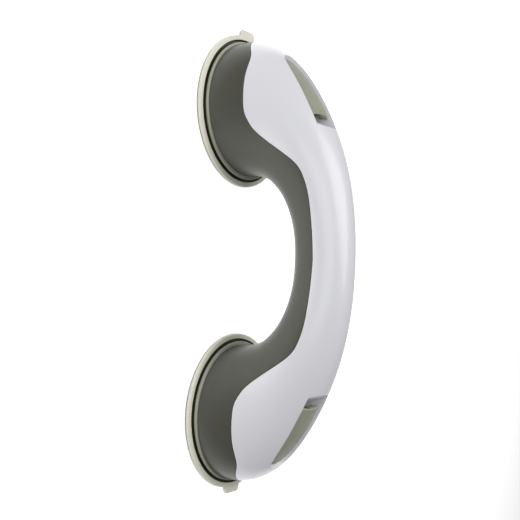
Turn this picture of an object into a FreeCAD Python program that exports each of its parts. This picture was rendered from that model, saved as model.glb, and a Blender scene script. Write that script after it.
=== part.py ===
import FreeCAD, Part
import Sketcher

import math
import os

V = FreeCAD.Vector
doc = FreeCAD.newDocument("suction_grab_bar")

# ---------------------------------------------------------------- driving dimensions, mm and degrees
DIMENSIONS = {
    "cup_axis_x": 97.5,
    # the two shells
    "wall_inset": 3.2,
    "seam_gap": 0.15,
    "rim_height": 5.0,
    "hollow_overcut": 1.5,
    # suction disc
    "disc_radius": 49.5,
    "disc_foot_radius": 49.0,
    "disc_edge_low": 0.8,
    "disc_edge_high": 2.3,
    "disc_rim_height": 3.0,
    "disc_rim_outer": 48.6,
    "disc_rim_inner": 46.3,
    "groove_outer": 45.8,
    "groove_inner": 44.4,
    "groove_height": 2.2,
    "disc_seat_outer": 43.9,
    "disc_seat_inner": 33.0,
    "land_inner": 36.0,
    "dome_height": 3.2,
    "dome_radius": 17.0,
    "hub_outer": 17.5,
    "hub_shoulder": 15.5,
    "hub_slope_height": 5.9,
    "tab_width": 17.0,
    "tab_reach": 53.5,
    "tab_start": 46.6,
    "tab_base": 0.8,
    "tab_thickness": 2.1,
    # insert moulded to the disc
    "insert_radius": 12.95,
    "insert_base": 5.4,
    "insert_top": 7.4,
    "insert_boss_radius": 4.8,
    "insert_boss_top": 9.4,
    "insert_bore": 4.02,
    # base plate
    "lip_radius": 44.6,
    "lip_base": 3.5,
    "spigot_radius": 38.0,
    "spigot_top": 6.8,
    "pan_foot_radius": 35.5,
    "pan_radius": 34.2,
    "pan_top": 12.0,
    "pan_roof": 9.0,
    "pan_inner_foot": 33.5,
    "pan_inner_radius": 32.0,
    "tower_foot_radius": 10.5,
    "tower_radius": 9.0,
    "tower_top": 38.7,
    "spring_chamber": 7.6,
    "spring_seat": 28.0,
    "guide_bore": 4.05,
    # screws
    "screw_circle": 27.0,
    "screw_angle": 40.0,
    "screw_hole": 1.9,
    "screw_shank": 1.55,
    "screw_head": 3.4,
    "screw_head_height": 2.0,
    "screw_length": 17.0,
    "screw_overlap": 0.5,
    "recess_length": 4.0,
    "recess_width": 0.9,
    "recess_depth": 1.2,
    "boss_radius": 4.0,
    "boss_bore": 1.6,
    "boss_depth": 18.0,
    # stud, pin, washer, spring
    "pivot_height": 51.5,
    "stud_radius": 4.0,
    "stud_foot": 5.5,
    "stud_shoulder": 41.4,
    "stud_neck_width": 6.4,
    "stud_head_thickness": 6.0,
    "pin_radius": 2.0,
    "pin_length": 15.6,
    "pin_bore_stud": 2.05,
    "pin_bore_lever": 2.02,
    "washer_base": 41.2,
    "washer_thickness": 1.0,
    "washer_radius": 10.0,
    "washer_bore": 4.6,
    "wire_radius": 0.6,
    "coil_radius": 5.6,
    "coil_turns": 6.0,
    "spring_play": 0.1,
    # lever, its cam and the well it lies in
    "slope_angle": 36.0,
    "cam_radius": 9.0,
    "cam_ratio": 1.79,
    "cam_lead": 10.0,
    "cam_travel": 85.0,
    "cheek_outer": 8.0,
    "cheek_inner": 3.4,
    "head_pocket": 4.5,
    "lever_drop": 3.2,
    "lever_depth": 7.6,
    "lever_end": 10.8,
    "lever_opening": 80.0,
    "heel_reach": 6.3,
    "well_wall": 2.0,
    "deck_height": 41.2,
    "deck_thickness": 2.4,
    # how far a cutting tool passes the face it opens
    "overcut": 1.0,
}

sheet = doc.addObject("Spreadsheet::Sheet", "Dimensions")
for row, (alias, value) in enumerate(DIMENSIONS.items(), start=1):
    sheet.set("A%d" % row, alias)
    sheet.set("B%d" % row, str(value))
    sheet.setAlias("B%d" % row, alias)
doc.recompute()


def dim(alias):
    """Value of one driving dimension, read back from the sheet."""
    return float(sheet.get(alias))


def bind(obj, **expressions):
    """Drives properties of an object from the sheet; a double underscore stands for a dot."""
    for prop, expression in expressions.items():
        obj.setExpression(prop.replace("__", "."), expression)
    return obj


def named(obj, label):
    """Names a finished sub-part."""
    obj.Label = label
    NODES.append(obj)
    return obj


NODES = []
HEADS = (("left", -1, 0.0), ("right", 1, 180.0))
CORNERS = [(x_sign, y_sign) for x_sign in (-1, 1) for y_sign in (-1, 1)]


# ---------------------------------------------------------------- outer form of the two shells
# Each ring runs from a point on the hand side to a point on the outside: (x, z), (x, z), half width.
RINGS = [
    ((-54.9, 5.0), (-140.5, 5.0), 43.2),
    ((-54.6, 14.5), (-140.9, 15.0), 40.2),
    ((-51.5, 25.0), (-135.2, 29.4), 35.3),
    ((-46.5, 32.0), (-119.9, 46.0), 30.5),
    ((-39.5, 38.0), (-93.0, 63.3), 26.1),
    ((-30.0, 42.8), (-62.5, 76.2), 22.2),
    ((-16.5, 46.4), (-31.0, 83.2), 19.2),
    ((0.0, 47.5), (0.0, 85.2), 18.2),
]
RING_POINTS = 24

# Seam between the white cover and the grey body, seen from the side: (x, z).
SEAM = [
    (-147.0, 8.5), (-141.0, 13.0), (-137.0, 16.3), (-133.6, 18.9), (-129.5, 21.8), (-125.5, 23.5),
    (-120.5, 24.3), (-112.5, 24.6), (-103.0, 25.1), (-95.8, 25.5), (-88.9, 26.2), (-82.7, 28.6),
    (-77.2, 32.4), (-70.9, 39.8), (-65.2, 47.7), (-58.0, 56.7), (-51.0, 61.2), (-43.0, 63.8),
    (-32.7, 65.5), (-17.0, 66.9), (0.0, 67.8),
]


def ring_curve(inner, outer, half_width, inset):
    """Closed oval through a hand-side point and an outer point, shrunk by an inset."""
    near = V(inner[0], 0, inner[1])
    far = V(outer[0], 0, outer[1])
    centre = (near + far) * 0.5
    radius = (far - near).Length / 2 - inset
    along = (near - far).normalize()
    points = []
    for step in range(RING_POINTS):
        angle = 2 * math.pi * step / RING_POINTS
        across = (half_width - inset) * math.sin(angle)
        points.append(centre + along * (radius * math.cos(angle)) + V(0, across, 0))
    curve = Part.BSplineCurve()
    stations = [float(step) for step in range(RING_POINTS + 1)]
    curve.interpolate(Points=points, PeriodicFlag=True, Parameters=stations)
    return curve


def mirrored(ring):
    """The same ring on the other half of the bar."""
    (near_x, near_z), (far_x, far_z), half_width = ring
    return ((-near_x, near_z), (-far_x, far_z), half_width)


def bar_form(inset, foot=None):
    """Solid of the whole bar, end to end, shrunk by an inset; foot lowers its two end faces."""
    rings = list(RINGS)
    if foot is not None:
        first = rings[0]
        rings[0] = ((first[0][0], foot), (first[1][0], foot), first[2])
    rings += [mirrored(ring) for ring in reversed(rings[:-1])]
    curves = [ring_curve(*ring, inset) for ring in rings]
    stations = [float(number) for number in range(len(rings))]
    rails = []
    for poles in zip(*[curve.getPoles() for curve in curves]):
        rail = Part.BSplineCurve()
        rail.interpolate(Points=list(poles), Parameters=stations)
        rails.append(rail)
    around = curves[0]
    skin = Part.BSplineSurface()
    skin.buildFromPolesMultsKnots([rail.getPoles() for rail in rails], around.getMultiplicities(),
                                  rails[0].getMultiplicities(), around.getKnots(), rails[0].getKnots(),
                                  True, False, around.Degree, rails[0].Degree)
    patches = []
    half = RING_POINTS / 2.0
    for start in (0.0, half):
        for low, high in zip(stations[:-1:2], stations[2::2]):
            patch = skin.copy()
            patch.segment(start, start + half, low, high)
            patches.append(patch.toShape())
    caps = []
    for curve in (curves[0], curves[-1]):
        arcs = [Part.Edge(curve, start, start + half) for start in (0.0, half)]
        caps.append(Part.Face(Part.Wire(arcs)))
    closed = Part.makeShell(patches + caps)
    closed.sewShape()
    return Part.makeSolid(closed)


def flat_prism(outline, low, high):
    """Prism along Y of an outline in X and Z."""
    points = [V(x, low, z) for x, z in outline]
    return Part.Face(Part.makePolygon(points + points[:1])).extrude(V(0, high - low, 0))


SPAN = 220.0


def cover_region(drop):
    """Everything on the cover's side of the seam, lowered by a drop."""
    left = [V(x, -SPAN / 2, z - drop) for x, z in SEAM]
    right = [V(-x, -SPAN / 2, z - drop) for x, z in reversed(SEAM[:-1])]
    curve = Part.BSplineCurve()
    curve.interpolate(left + right)
    start, end = left[0], right[-1]
    frame = [end, V(SPAN, -SPAN / 2, end.z), V(SPAN, -SPAN / 2, SPAN),
             V(-SPAN, -SPAN / 2, SPAN), V(-SPAN, -SPAN / 2, start.z), start]
    knots = curve.getKnots()
    lengths = [Part.Edge(curve, low, high) for low, high in zip(knots[:-1], knots[1:])]
    edges = lengths + Part.makePolygon(frame).Edges
    return Part.Face(Part.Wire(Part.__sortEdges__(edges))).extrude(V(0, SPAN, 0))


# ---------------------------------------------------------------- the lever's slot
# Half outline of the slot along the slope, from its tip: (distance from the pivot, half width).
SLOT = [
    (-36.4, 0.0), (-36.0, 3.6), (-34.2, 7.4), (-29.0, 10.1), (-21.0, 11.7), (-12.0, 12.3), (-4.0, 12.6),
    (6.0, 12.8), (14.0, 12.6),
]
# The lever's own half outline: the gap beside it widens towards its blunt end.
LEVER = [
    (-35.8, 0.0), (-35.4, 3.2), (-33.6, 6.8), (-28.8, 9.4), (-21.0, 11.0), (-12.0, 11.5), (-4.0, 11.6),
    (6.0, 11.5),
]
SLOT_END = 34.0
PRISM_REACH = 60.0
# A grown outline moves this much less at its tip than at its sides.
TIP_GROWTH = 0.5

# Floor of the well, seen from the side, around the cup's axis: (x, z).
TIP_REACH = -50.0
TIP_FLOOR = 14.0
DECK_OUTER = -12.0
DECK_INNER = 13.0
RAMP_FOOT_HEIGHT = 52.0
RAMP_NOSE = (10.9, 57.6)
MOUTH_INNER = 15.6
MOUTH_RIM_HEIGHT = 67.9
MOUTH_HEIGHT = 90.0
# For each millimetre of thickness, the sloping floor drops and its bend with the deck moves inward.
FLOOR_DROP = 1.2
BEND_SHIFT = 0.3


def slope_point(along, across, depth):
    """Point in the slope's own axes, measured from the pivot."""
    tilt = math.radians(dim("slope_angle"))
    x = along * math.cos(tilt) - depth * math.sin(tilt)
    z = along * math.sin(tilt) + depth * math.cos(tilt)
    return V(x, across, z + dim("pivot_height"))


def slope_prism(half_outline, growth, end):
    """Prism square to the slope with a tongue's outline, grown all round and stopped square at an end."""
    tip = half_outline[0]
    half = [(tip[0] - growth, 0.0)] + [(u - growth * TIP_GROWTH, w + growth) for u, w in half_outline[1:]]
    half.append((end, half[-1][1]))
    last = half[-1]
    side = [slope_point(u, w, -PRISM_REACH / 2) for u, w in half[:-1]]
    other = [slope_point(u, -w, -PRISM_REACH / 2) for u, w in reversed(half[1:-1])]
    curve = Part.BSplineCurve()
    curve.interpolate(other + side)
    corner = slope_point(last[0], last[1], -PRISM_REACH / 2)
    opposite = slope_point(last[0], -last[1], -PRISM_REACH / 2)
    rest = Part.makePolygon([side[-1], corner, opposite, other[0]])
    outline = Part.Wire(Part.__sortEdges__([curve.toShape()] + rest.Edges))
    normal = slope_point(0, 0, 1) - slope_point(0, 0, 0)
    return Part.Face(outline).extrude(normal * PRISM_REACH)


def well_side(thickness):
    """Space above the well's floor, seen from the side; a thickness lowers the floor and backs the end."""
    deck = dim("deck_height") - thickness
    outline = [(TIP_REACH, TIP_FLOOR - thickness * FLOOR_DROP), (DECK_OUTER + thickness * BEND_SHIFT, deck),
               (DECK_INNER + thickness, deck), (DECK_INNER + thickness, RAMP_FOOT_HEIGHT),
               (RAMP_NOSE[0] + thickness, RAMP_NOSE[1]), (MOUTH_INNER + thickness, MOUTH_RIM_HEIGHT),
               (MOUTH_INNER + thickness, MOUTH_HEIGHT), (TIP_REACH, MOUTH_HEIGHT)]
    return flat_prism(outline, -SPAN / 2, SPAN / 2)


def on_head(shape, sign):
    """Copy of a shape drawn around the cup's axis, set on one head."""
    copy = shape.copy()
    if sign > 0:
        copy.rotate(V(0, 0, 0), V(0, 0, 1), 180)
    copy.translate(V(sign * dim("cup_axis_x"), 0, 0))
    return copy


# ---------------------------------------------------------------- top cover and lower body
def cover_bosses(sign):
    """Four long screw bosses hanging from the cover inside one head."""
    bosses = []
    bores = []
    angle = math.radians(dim("screw_angle"))
    for x_sign, y_sign in CORNERS:
        x = sign * dim("cup_axis_x") + x_sign * dim("screw_circle") * math.cos(angle)
        y = y_sign * dim("screw_circle") * math.sin(angle)
        foot = V(x, y, dim("pan_top"))
        bosses.append(Part.makeCylinder(dim("boss_radius"), MOUTH_HEIGHT, foot))
        start = foot - V(0, 0, dim("overcut"))
        bores.append(Part.makeCylinder(dim("boss_bore"), dim("boss_depth"), start))
    return bosses, bores


outer_form = bar_form(0.0)
hollow_form = bar_form(dim("wall_inset"), dim("rim_height") - dim("hollow_overcut"))
boss_limit = bar_form(dim("wall_inset") / 2)
shell = outer_form.cut(hollow_form)

cover = shell.common(cover_region(0.0))
slot_cut = slope_prism(SLOT, 0.0, SLOT_END).common(well_side(0.0))
well_block = slope_prism(SLOT, dim("well_wall"), SLOT_END).common(well_side(dim("deck_thickness")))
stud_hole = Part.makeCylinder(dim("washer_bore"), MOUTH_HEIGHT, V(0, 0, dim("spring_seat")))
for sign in (-1, 1):
    bosses, bores = cover_bosses(sign)
    for boss in bosses:
        cover = cover.fuse(boss.common(boss_limit))
    cover = cover.fuse(on_head(well_block, sign).common(outer_form))
    cover = cover.cut(on_head(slot_cut, sign))
    cover = cover.cut(on_head(stud_hole, sign))
    for bore in bores:
        cover = cover.cut(bore)
cover = cover.removeSplitter()

body = shell.cut(cover_region(dim("seam_gap")))

top_cover = doc.addObject("Part::Feature", "TopCover")
top_cover.Shape = cover
top_cover.Placement = FreeCAD.Placement()
named(top_cover, "top_cover")

lower_body = doc.addObject("Part::Feature", "LowerBody")
lower_body.Shape = body
lower_body.Placement = FreeCAD.Placement()
named(lower_body, "lower_body")


# ---------------------------------------------------------------- turned pieces
def turned_body(name, profile):
    """PartDesign body turned about Z from a closed profile of (radius, height) sheet names."""
    part = doc.addObject("PartDesign::Body", name)
    sketch = part.newObject("Sketcher::SketchObject", name + "Profile")
    plane = [item for item in part.Origin.OriginFeatures if item.Role == "XZ_Plane"][0]
    sketch.AttachmentSupport = [(plane, "")]
    sketch.MapMode = "FlatFace"
    points = [V(dim(r) if r else 0.0, dim(z) if z else 0.0, 0) for r, z in profile]
    count = len(points)
    for index in range(count):
        sketch.addGeometry(Part.LineSegment(points[index], points[(index + 1) % count]), False)
    for index in range(count):
        after = (index + 1) % count
        sketch.addConstraint(Sketcher.Constraint("Coincident", index, 2, after, 1))
    for index, (radius, height) in enumerate(profile):
        if radius:
            number = sketch.addConstraint(Sketcher.Constraint("DistanceX", -1, 1, index, 1, points[index].x))
            sketch.setExpression("Constraints[%d]" % number, "Dimensions." + radius)
        else:
            sketch.addConstraint(Sketcher.Constraint("PointOnObject", index, 1, -2))
        if height:
            number = sketch.addConstraint(Sketcher.Constraint("DistanceY", -1, 1, index, 1, points[index].y))
            sketch.setExpression("Constraints[%d]" % number, "Dimensions." + height)
        else:
            sketch.addConstraint(Sketcher.Constraint("PointOnObject", index, 1, -1))
    turn = part.newObject("PartDesign::Revolution", name + "Turn")
    turn.Profile = sketch
    turn.ReferenceAxis = (sketch, ["V_Axis"])
    turn.Angle = 360.0
    doc.recompute()
    return part


DISC_PROFILE = [
    ("", "dome_height"), ("dome_radius", "dome_height"), ("land_inner", ""), ("disc_foot_radius", ""),
    ("disc_radius", "disc_edge_low"), ("disc_radius", "disc_edge_high"),
    ("disc_rim_outer", "disc_rim_height"), ("disc_rim_inner", "disc_rim_height"),
    ("groove_outer", "groove_height"), ("groove_inner", "groove_height"),
    ("disc_seat_outer", "lip_base"), ("disc_seat_inner", "lip_base"),
    ("hub_outer", "hub_slope_height"), ("hub_shoulder", "insert_top"),
    ("insert_radius", "insert_top"), ("insert_radius", "insert_base"), ("", "insert_base"),
]
INSERT_PROFILE = [
    ("insert_bore", "insert_base"), ("insert_radius", "insert_base"), ("insert_radius", "insert_top"),
    ("insert_boss_radius", "insert_top"), ("insert_boss_radius", "insert_boss_top"),
    ("insert_bore", "insert_boss_top"),
]
PLATE_PROFILE = [
    ("lip_radius", "lip_base"), ("lip_radius", "rim_height"), ("spigot_radius", "rim_height"),
    ("spigot_radius", "spigot_top"), ("pan_foot_radius", "spigot_top"), ("pan_radius", "pan_top"),
    ("tower_foot_radius", "pan_top"), ("tower_radius", "tower_top"), ("guide_bore", "tower_top"),
    ("guide_bore", "spring_seat"), ("spring_chamber", "spring_seat"), ("spring_chamber", "pan_roof"),
    ("pan_inner_radius", "pan_roof"), ("pan_inner_foot", "lip_base"),
]

def at_screw(item, x_sign, y_sign):
    """Sets an item over one of the four screws."""
    circle = "%d * Dimensions.screw_circle * %s(Dimensions.screw_angle * 1 deg)"
    return bind(item, Placement__Base__x=circle % (x_sign, "cos"),
                Placement__Base__y=circle % (y_sign, "sin"))


def suction_disc(name):
    """Rubber disc with a flat land, a shallow dome and a pull tab at its outer edge."""
    part = turned_body(name, DISC_PROFILE)
    tab = part.newObject("PartDesign::AdditiveBox", name + "Tab")
    bind(tab, Length="Dimensions.tab_reach - Dimensions.tab_start", Width="Dimensions.tab_width",
         Height="Dimensions.tab_thickness", Placement__Base__x="-Dimensions.tab_reach",
         Placement__Base__y="-Dimensions.tab_width / 2", Placement__Base__z="Dimensions.tab_base")
    part.Tip = tab
    return part


def base_plate(name):
    """Plate that closes the bell, with its pale rim, a pan over the disc's hub and the stud's guide."""
    part = turned_body(name, PLATE_PROFILE)
    for number, (x_sign, y_sign) in enumerate(CORNERS):
        hole = part.newObject("PartDesign::SubtractiveCylinder", "%sHole%d" % (name, number))
        bind(hole, Radius="Dimensions.screw_hole", Height="Dimensions.pan_top",
             Placement__Base__z="Dimensions.rim_height")
        at_screw(hole, x_sign, y_sign)
        part.Tip = hole
    return part


# ---------------------------------------------------------------- pieces from primitives
def cylinder(name, radius, height, base):
    """Upright cylinder bound to the sheet."""
    item = doc.addObject("Part::Cylinder", name)
    return bind(item, Radius=radius, Height=height, Placement__Base__z=base)


def cross_cylinder(name, radius, length, height):
    """Cylinder along Y, centred on the cup's axis, bound to the sheet."""
    item = doc.addObject("Part::Cylinder", name)
    item.Placement = FreeCAD.Placement(V(0, 0, 0), FreeCAD.Rotation(V(1, 0, 0), -90))
    return bind(item, Radius=radius, Height=length, Placement__Base__y="-(%s) / 2" % length,
                Placement__Base__z=height)


def fuse(name, items):
    """Union of several items."""
    union = doc.addObject("Part::MultiFuse", name)
    union.Shapes = items
    return union


def cut(name, base, tool):
    """One item less another."""
    result = doc.addObject("Part::Cut", name)
    result.Base = base
    result.Tool = tool
    return result


def pull_stud(name):
    """Round stud with a flat head that carries the lever's pin."""
    shank = cylinder(name + "Shank", "Dimensions.stud_radius",
                     "Dimensions.stud_shoulder - Dimensions.stud_foot", "Dimensions.stud_foot")
    neck = doc.addObject("Part::Box", name + "Neck")
    bind(neck, Length="Dimensions.stud_neck_width", Width="Dimensions.stud_head_thickness",
         Height="Dimensions.pivot_height - Dimensions.stud_shoulder",
         Placement__Base__x="-Dimensions.stud_neck_width / 2",
         Placement__Base__y="-Dimensions.stud_head_thickness / 2",
         Placement__Base__z="Dimensions.stud_shoulder")
    crown = cross_cylinder(name + "Crown", "Dimensions.stud_radius", "Dimensions.stud_head_thickness",
                           "Dimensions.pivot_height")
    bore = cross_cylinder(name + "Bore", "Dimensions.pin_bore_stud", "2 * Dimensions.stud_head_thickness",
                          "Dimensions.pivot_height")
    return cut(name, fuse(name + "Solid", [shank, neck, crown]), bore)


def wear_washer(name):
    """Hard washer that the cam bears on."""
    disc = cylinder(name + "Disc", "Dimensions.washer_radius", "Dimensions.washer_thickness",
                    "Dimensions.washer_base")
    bore = cylinder(name + "Bore", "Dimensions.washer_bore",
                    "Dimensions.washer_thickness + 2 * Dimensions.overcut",
                    "Dimensions.washer_base - Dimensions.overcut")
    return cut(name, disc, bore)


def return_spring(name):
    """Coil between the insert and the seat in the base plate."""
    helix = doc.addObject("Part::Helix", name + "Helix")
    clear = "(%s)" % " - ".join(["Dimensions.spring_seat", "Dimensions.insert_top",
                                 "2 * Dimensions.wire_radius", "Dimensions.spring_play"])
    start = "Dimensions.insert_top + Dimensions.wire_radius + Dimensions.spring_play / 2"
    bind(helix, Radius="Dimensions.coil_radius", Height=clear, Pitch=clear + " / Dimensions.coil_turns",
         Placement__Base__z=start)
    wire = doc.addObject("Part::Circle", name + "Wire")
    wire.Placement = FreeCAD.Placement(V(0, 0, 0), FreeCAD.Rotation(V(1, 0, 0), 90))
    bind(wire, Radius="Dimensions.wire_radius", Placement__Base__x="Dimensions.coil_radius",
         Placement__Base__z=start)
    doc.recompute()
    sweep = doc.addObject("Part::Sweep", name)
    sweep.Sections = [wire]
    sweep.Spine = (helix, ["Edge1"])
    sweep.Solid = True
    sweep.Frenet = True
    return sweep


def base_screws(name):
    """Four pan-head screws with cross recesses, driven up through the base plate."""
    screws = []
    for number, (x_sign, y_sign) in enumerate(CORNERS):
        tag = "%s%d" % (name, number)
        head = cylinder(tag + "Head", "Dimensions.screw_head", "Dimensions.screw_head_height",
                        "Dimensions.pan_roof - Dimensions.screw_head_height")
        shank = cylinder(tag + "Shank", "Dimensions.screw_shank", "Dimensions.screw_length",
                         "Dimensions.pan_roof - Dimensions.screw_overlap")
        slots = []
        for turn in (0, 90):
            slot = doc.addObject("Part::Box", "%sSlot%d" % (tag, turn))
            along, across = ("x", "y") if turn == 0 else ("y", "x")
            length, width = ("Length", "Width") if turn == 0 else ("Width", "Length")
            slot.setExpression(length, "Dimensions.recess_length")
            slot.setExpression(width, "Dimensions.recess_width")
            slot.setExpression("Height", "Dimensions.recess_depth + Dimensions.overcut")
            slot.setExpression("Placement.Base." + along, "-Dimensions.recess_length / 2")
            slot.setExpression("Placement.Base." + across, "-Dimensions.recess_width / 2")
            slot.setExpression("Placement.Base.z",
                               "Dimensions.pan_roof - Dimensions.screw_head_height - Dimensions.overcut")
            slots.append(slot)
        screw = cut(tag, fuse(tag + "Solid", [head, shank]), fuse(tag + "Recess", slots))
        screws.append(at_screw(screw, x_sign, y_sign))
    group = doc.addObject("Part::Compound", name)
    group.Links = screws
    return group


# ---------------------------------------------------------------- lever
def cam_point(angle):
    """Point of the cam whose reach below the pivot falls evenly as the lever opens."""
    reach = dim("cam_radius") - dim("cam_ratio") * angle
    x = reach * math.sin(angle) - dim("cam_ratio") * math.cos(angle)
    z = -reach * math.cos(angle) - dim("cam_ratio") * math.sin(angle)
    return V(x, 0, z + dim("pivot_height"))


CAM_STEPS = 12
# Outline of a cheek above the cam, from the inner end round to the tip side, around the pivot: (x, z).
CHEEK_BACK = [(6.6, 6.0), (2.0, 4.5), (-13.0, -4.6), (-12.0, -7.4)]


def heel_line(height):
    """How far in the blade's blunt end may reach at a height, to lie flat over the washer when fully open."""
    opening = math.radians(dim("lever_opening"))
    return (dim("heel_reach") + (height - dim("pivot_height")) * math.cos(opening)) / math.sin(opening)


def lever_shape():
    """Curved blade that fills the slot, with two cam cheeks under its blunt end."""
    height = dim("pivot_height")
    first = -math.radians(dim("cam_lead"))
    last = math.radians(dim("cam_travel"))
    angles = [first + (last - first) * step / CAM_STEPS for step in range(CAM_STEPS + 1)]
    cam = Part.BSplineCurve()
    cam.interpolate([cam_point(angle) for angle in angles])
    back = [cam_point(last)] + [V(x, 0, z + height) for x, z in CHEEK_BACK] + [cam_point(first)]
    outline = Part.Wire(Part.__sortEdges__([cam.toShape()] + Part.makePolygon(back).Edges))
    hub = Part.Face(outline).extrude(V(0, 2 * dim("cheek_outer"), 0))
    hub.translate(V(0, -dim("cheek_outer"), 0))
    top = bar_form(dim("lever_drop"))
    under = bar_form(dim("lever_depth"))
    axis = V(dim("cup_axis_x"), 0, 0)
    top.translate(axis)
    under.translate(axis)
    prism = slope_prism(LEVER, 0.0, dim("lever_end"))
    limit = flat_prism([(TIP_REACH, 0), (heel_line(0), 0), (heel_line(MOUTH_HEIGHT), MOUTH_HEIGHT),
                        (TIP_REACH, MOUTH_HEIGHT)], -SPAN / 2, SPAN / 2)
    blade = prism.common(limit).common(top).cut(under)
    gap = 2 * dim("cheek_inner")
    slot = Part.makeBox(2 * MOUTH_INNER, gap, MOUTH_HEIGHT, V(-MOUTH_INNER, -gap / 2, 0))
    pocket = Part.makeCylinder(dim("head_pocket"), gap, V(0, -gap / 2, height), V(0, 1, 0))
    bore = Part.makeCylinder(dim("pin_bore_lever"), SPAN, V(0, -SPAN / 2, height), V(0, 1, 0))
    hub = hub.common(top).cut(slot).cut(pocket)
    return blade.cut(pocket).fuse(hub).cut(bore).removeSplitter()


lever_solid = lever_shape()


def lever(name):
    """One lever, as a finished shape."""
    item = doc.addObject("Part::Feature", name)
    item.Shape = lever_solid
    return item


def lever_pin(name):
    """Cross pin through the cheeks and the stud's head."""
    return cross_cylinder(name, "Dimensions.pin_radius", "Dimensions.pin_length", "Dimensions.pivot_height")


def disc_insert(name):
    """Rigid plate moulded to the rubber, with a threaded boss for the stud."""
    return turned_body(name, INSERT_PROFILE)


# Each piece, and whether it is drawn with the lever's tip towards -X and so turns with its head.
PIECES = [
    ("suction_disc", suction_disc, True), ("lever", lever, True), ("base_plate", base_plate, False),
    ("disc_insert", disc_insert, False), ("pull_stud", pull_stud, False),
    ("return_spring", return_spring, False), ("wear_washer", wear_washer, False),
    ("lever_pin", lever_pin, False), ("base_screws", base_screws, False),
]
for side_name, sign, turn in HEADS:
    for piece, builder, turns in PIECES:
        title = "".join(word.title() for word in (piece + "_" + side_name).split("_"))
        item = builder(title)
        if turns:
            item.Placement = FreeCAD.Placement(V(0, 0, 0), FreeCAD.Rotation(V(0, 0, 1), turn))
        item.setExpression("Placement.Base.x", "%d * Dimensions.cup_axis_x" % sign)
        named(item, "%s_%s" % (piece, side_name))

doc.recompute()

# ---------------------------------------------------------------- checks and files
for item in doc.Objects:
    if "Invalid" in item.State or "Error" in item.State:
        raise RuntimeError("%s did not build: %s" % (item.Name, item.State))
os.makedirs("parts", exist_ok=True)
for node in NODES:
    shape = node.Shape
    if shape.isNull() or not shape.isValid() or not shape.Solids:
        raise RuntimeError("%s has no sound solid" % node.Label)
    shape.exportStep("parts/%s.step" % node.Label)
    box = shape.BoundBox
    print("%-22s solids %d volume %9.1f  x %7.1f %7.1f  y %6.1f %6.1f  z %6.1f %6.1f" % (
        node.Label, len(shape.Solids), shape.Volume,
        box.XMin, box.XMax, box.YMin, box.YMax, box.ZMin, box.ZMax))
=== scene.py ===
"""Visual model of a suction grab bar. Lengths are in millimetres until a mesh is made."""

import math

import bpy
import numpy as np
from mathutils import Matrix, Vector


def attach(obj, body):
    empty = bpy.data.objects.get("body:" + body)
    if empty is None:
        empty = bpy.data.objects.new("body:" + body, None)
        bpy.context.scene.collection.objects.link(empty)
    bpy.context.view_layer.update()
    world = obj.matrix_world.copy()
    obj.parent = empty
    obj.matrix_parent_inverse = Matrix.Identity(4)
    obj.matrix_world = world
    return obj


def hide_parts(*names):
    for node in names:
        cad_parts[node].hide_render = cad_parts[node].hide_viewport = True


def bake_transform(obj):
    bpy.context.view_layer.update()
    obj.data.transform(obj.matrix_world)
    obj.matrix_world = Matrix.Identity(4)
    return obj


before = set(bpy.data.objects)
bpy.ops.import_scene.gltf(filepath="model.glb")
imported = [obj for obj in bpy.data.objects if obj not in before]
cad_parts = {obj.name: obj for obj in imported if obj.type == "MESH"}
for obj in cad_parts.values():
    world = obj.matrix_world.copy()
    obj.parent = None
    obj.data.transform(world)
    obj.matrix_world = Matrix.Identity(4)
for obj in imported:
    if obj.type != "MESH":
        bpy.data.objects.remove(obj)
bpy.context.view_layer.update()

MM = 0.001
# Each point's nearness to an edge, from 0 to 1, and how far in from the edge it reaches.
EDGE_NAME = "edge_nearness"
EDGE_REACH = 1.4
# Stand-ins for zero, and for a distance beyond anything on the bar.
TINY = 1e-9
SMALL = 1e-6
FAR = 1000.0
# Distance of each cup's axis from the middle of the bar.
CUP_X = 97.5
SIDES = (("left", -1), ("right", 1))


# ---------------------------------------------------------------- main dimensions
# Each ring: (x, z) on the hand side, (x, z) on the outside, half width.
RINGS = [
    ((-54.9, 5.0), (-140.5, 5.0), 43.2),
    ((-54.6, 14.5), (-140.9, 15.0), 40.2),
    ((-51.5, 25.0), (-135.2, 29.4), 35.3),
    ((-46.5, 32.0), (-119.9, 46.0), 30.5),
    ((-39.5, 38.0), (-93.0, 63.3), 26.1),
    ((-30.0, 42.8), (-62.5, 76.2), 22.2),
    ((-16.5, 46.4), (-31.0, 83.2), 19.2),
    ((0.0, 47.5), (0.0, 85.2), 18.2),
]
# Seam between the white cover and the grey body, from the outer end to the middle: (x, z).
SEAM = [
    (-147.0, 8.5), (-141.0, 13.0), (-137.0, 16.3), (-133.6, 18.9), (-129.5, 21.8), (-125.5, 23.5),
    (-120.5, 24.3), (-112.5, 24.6), (-103.0, 25.1), (-95.8, 25.5), (-88.9, 26.2), (-82.7, 28.6),
    (-77.2, 32.4), (-70.9, 39.8), (-65.2, 47.7), (-58.0, 56.7), (-51.0, 61.2), (-43.0, 63.8),
    (-32.7, 65.5), (-17.0, 66.9), (0.0, 67.8),
]
# Height of the bells' lower edge and of the levers' pins, and the slope of the levers.
RIM_Z = 5.0
PIVOT_Z = 51.5
SLOPE = math.radians(36.0)
# Half outlines along the slope, from the tip: (distance from the pivot, half width).
SLOT = [
    (-36.4, 0.0), (-36.0, 3.6), (-34.2, 7.4), (-29.0, 10.1), (-21.0, 11.7), (-12.0, 12.3), (-4.0, 12.6),
    (6.0, 12.8), (14.0, 12.6), (24.0, 12.4),
]
LEVER = [
    (-35.8, 0.0), (-35.4, 3.2), (-33.6, 6.8), (-28.8, 9.4), (-21.0, 11.0), (-12.0, 11.5), (-4.0, 11.6),
    (6.0, 11.5), (14.0, 11.3),
]
# Blunt end of the blade past the pivot, and its top and lower face below the bar's form.
LEVER_END = 10.8
LEVER_DROP = 3.2
LEVER_DEPTH = 7.6
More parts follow.
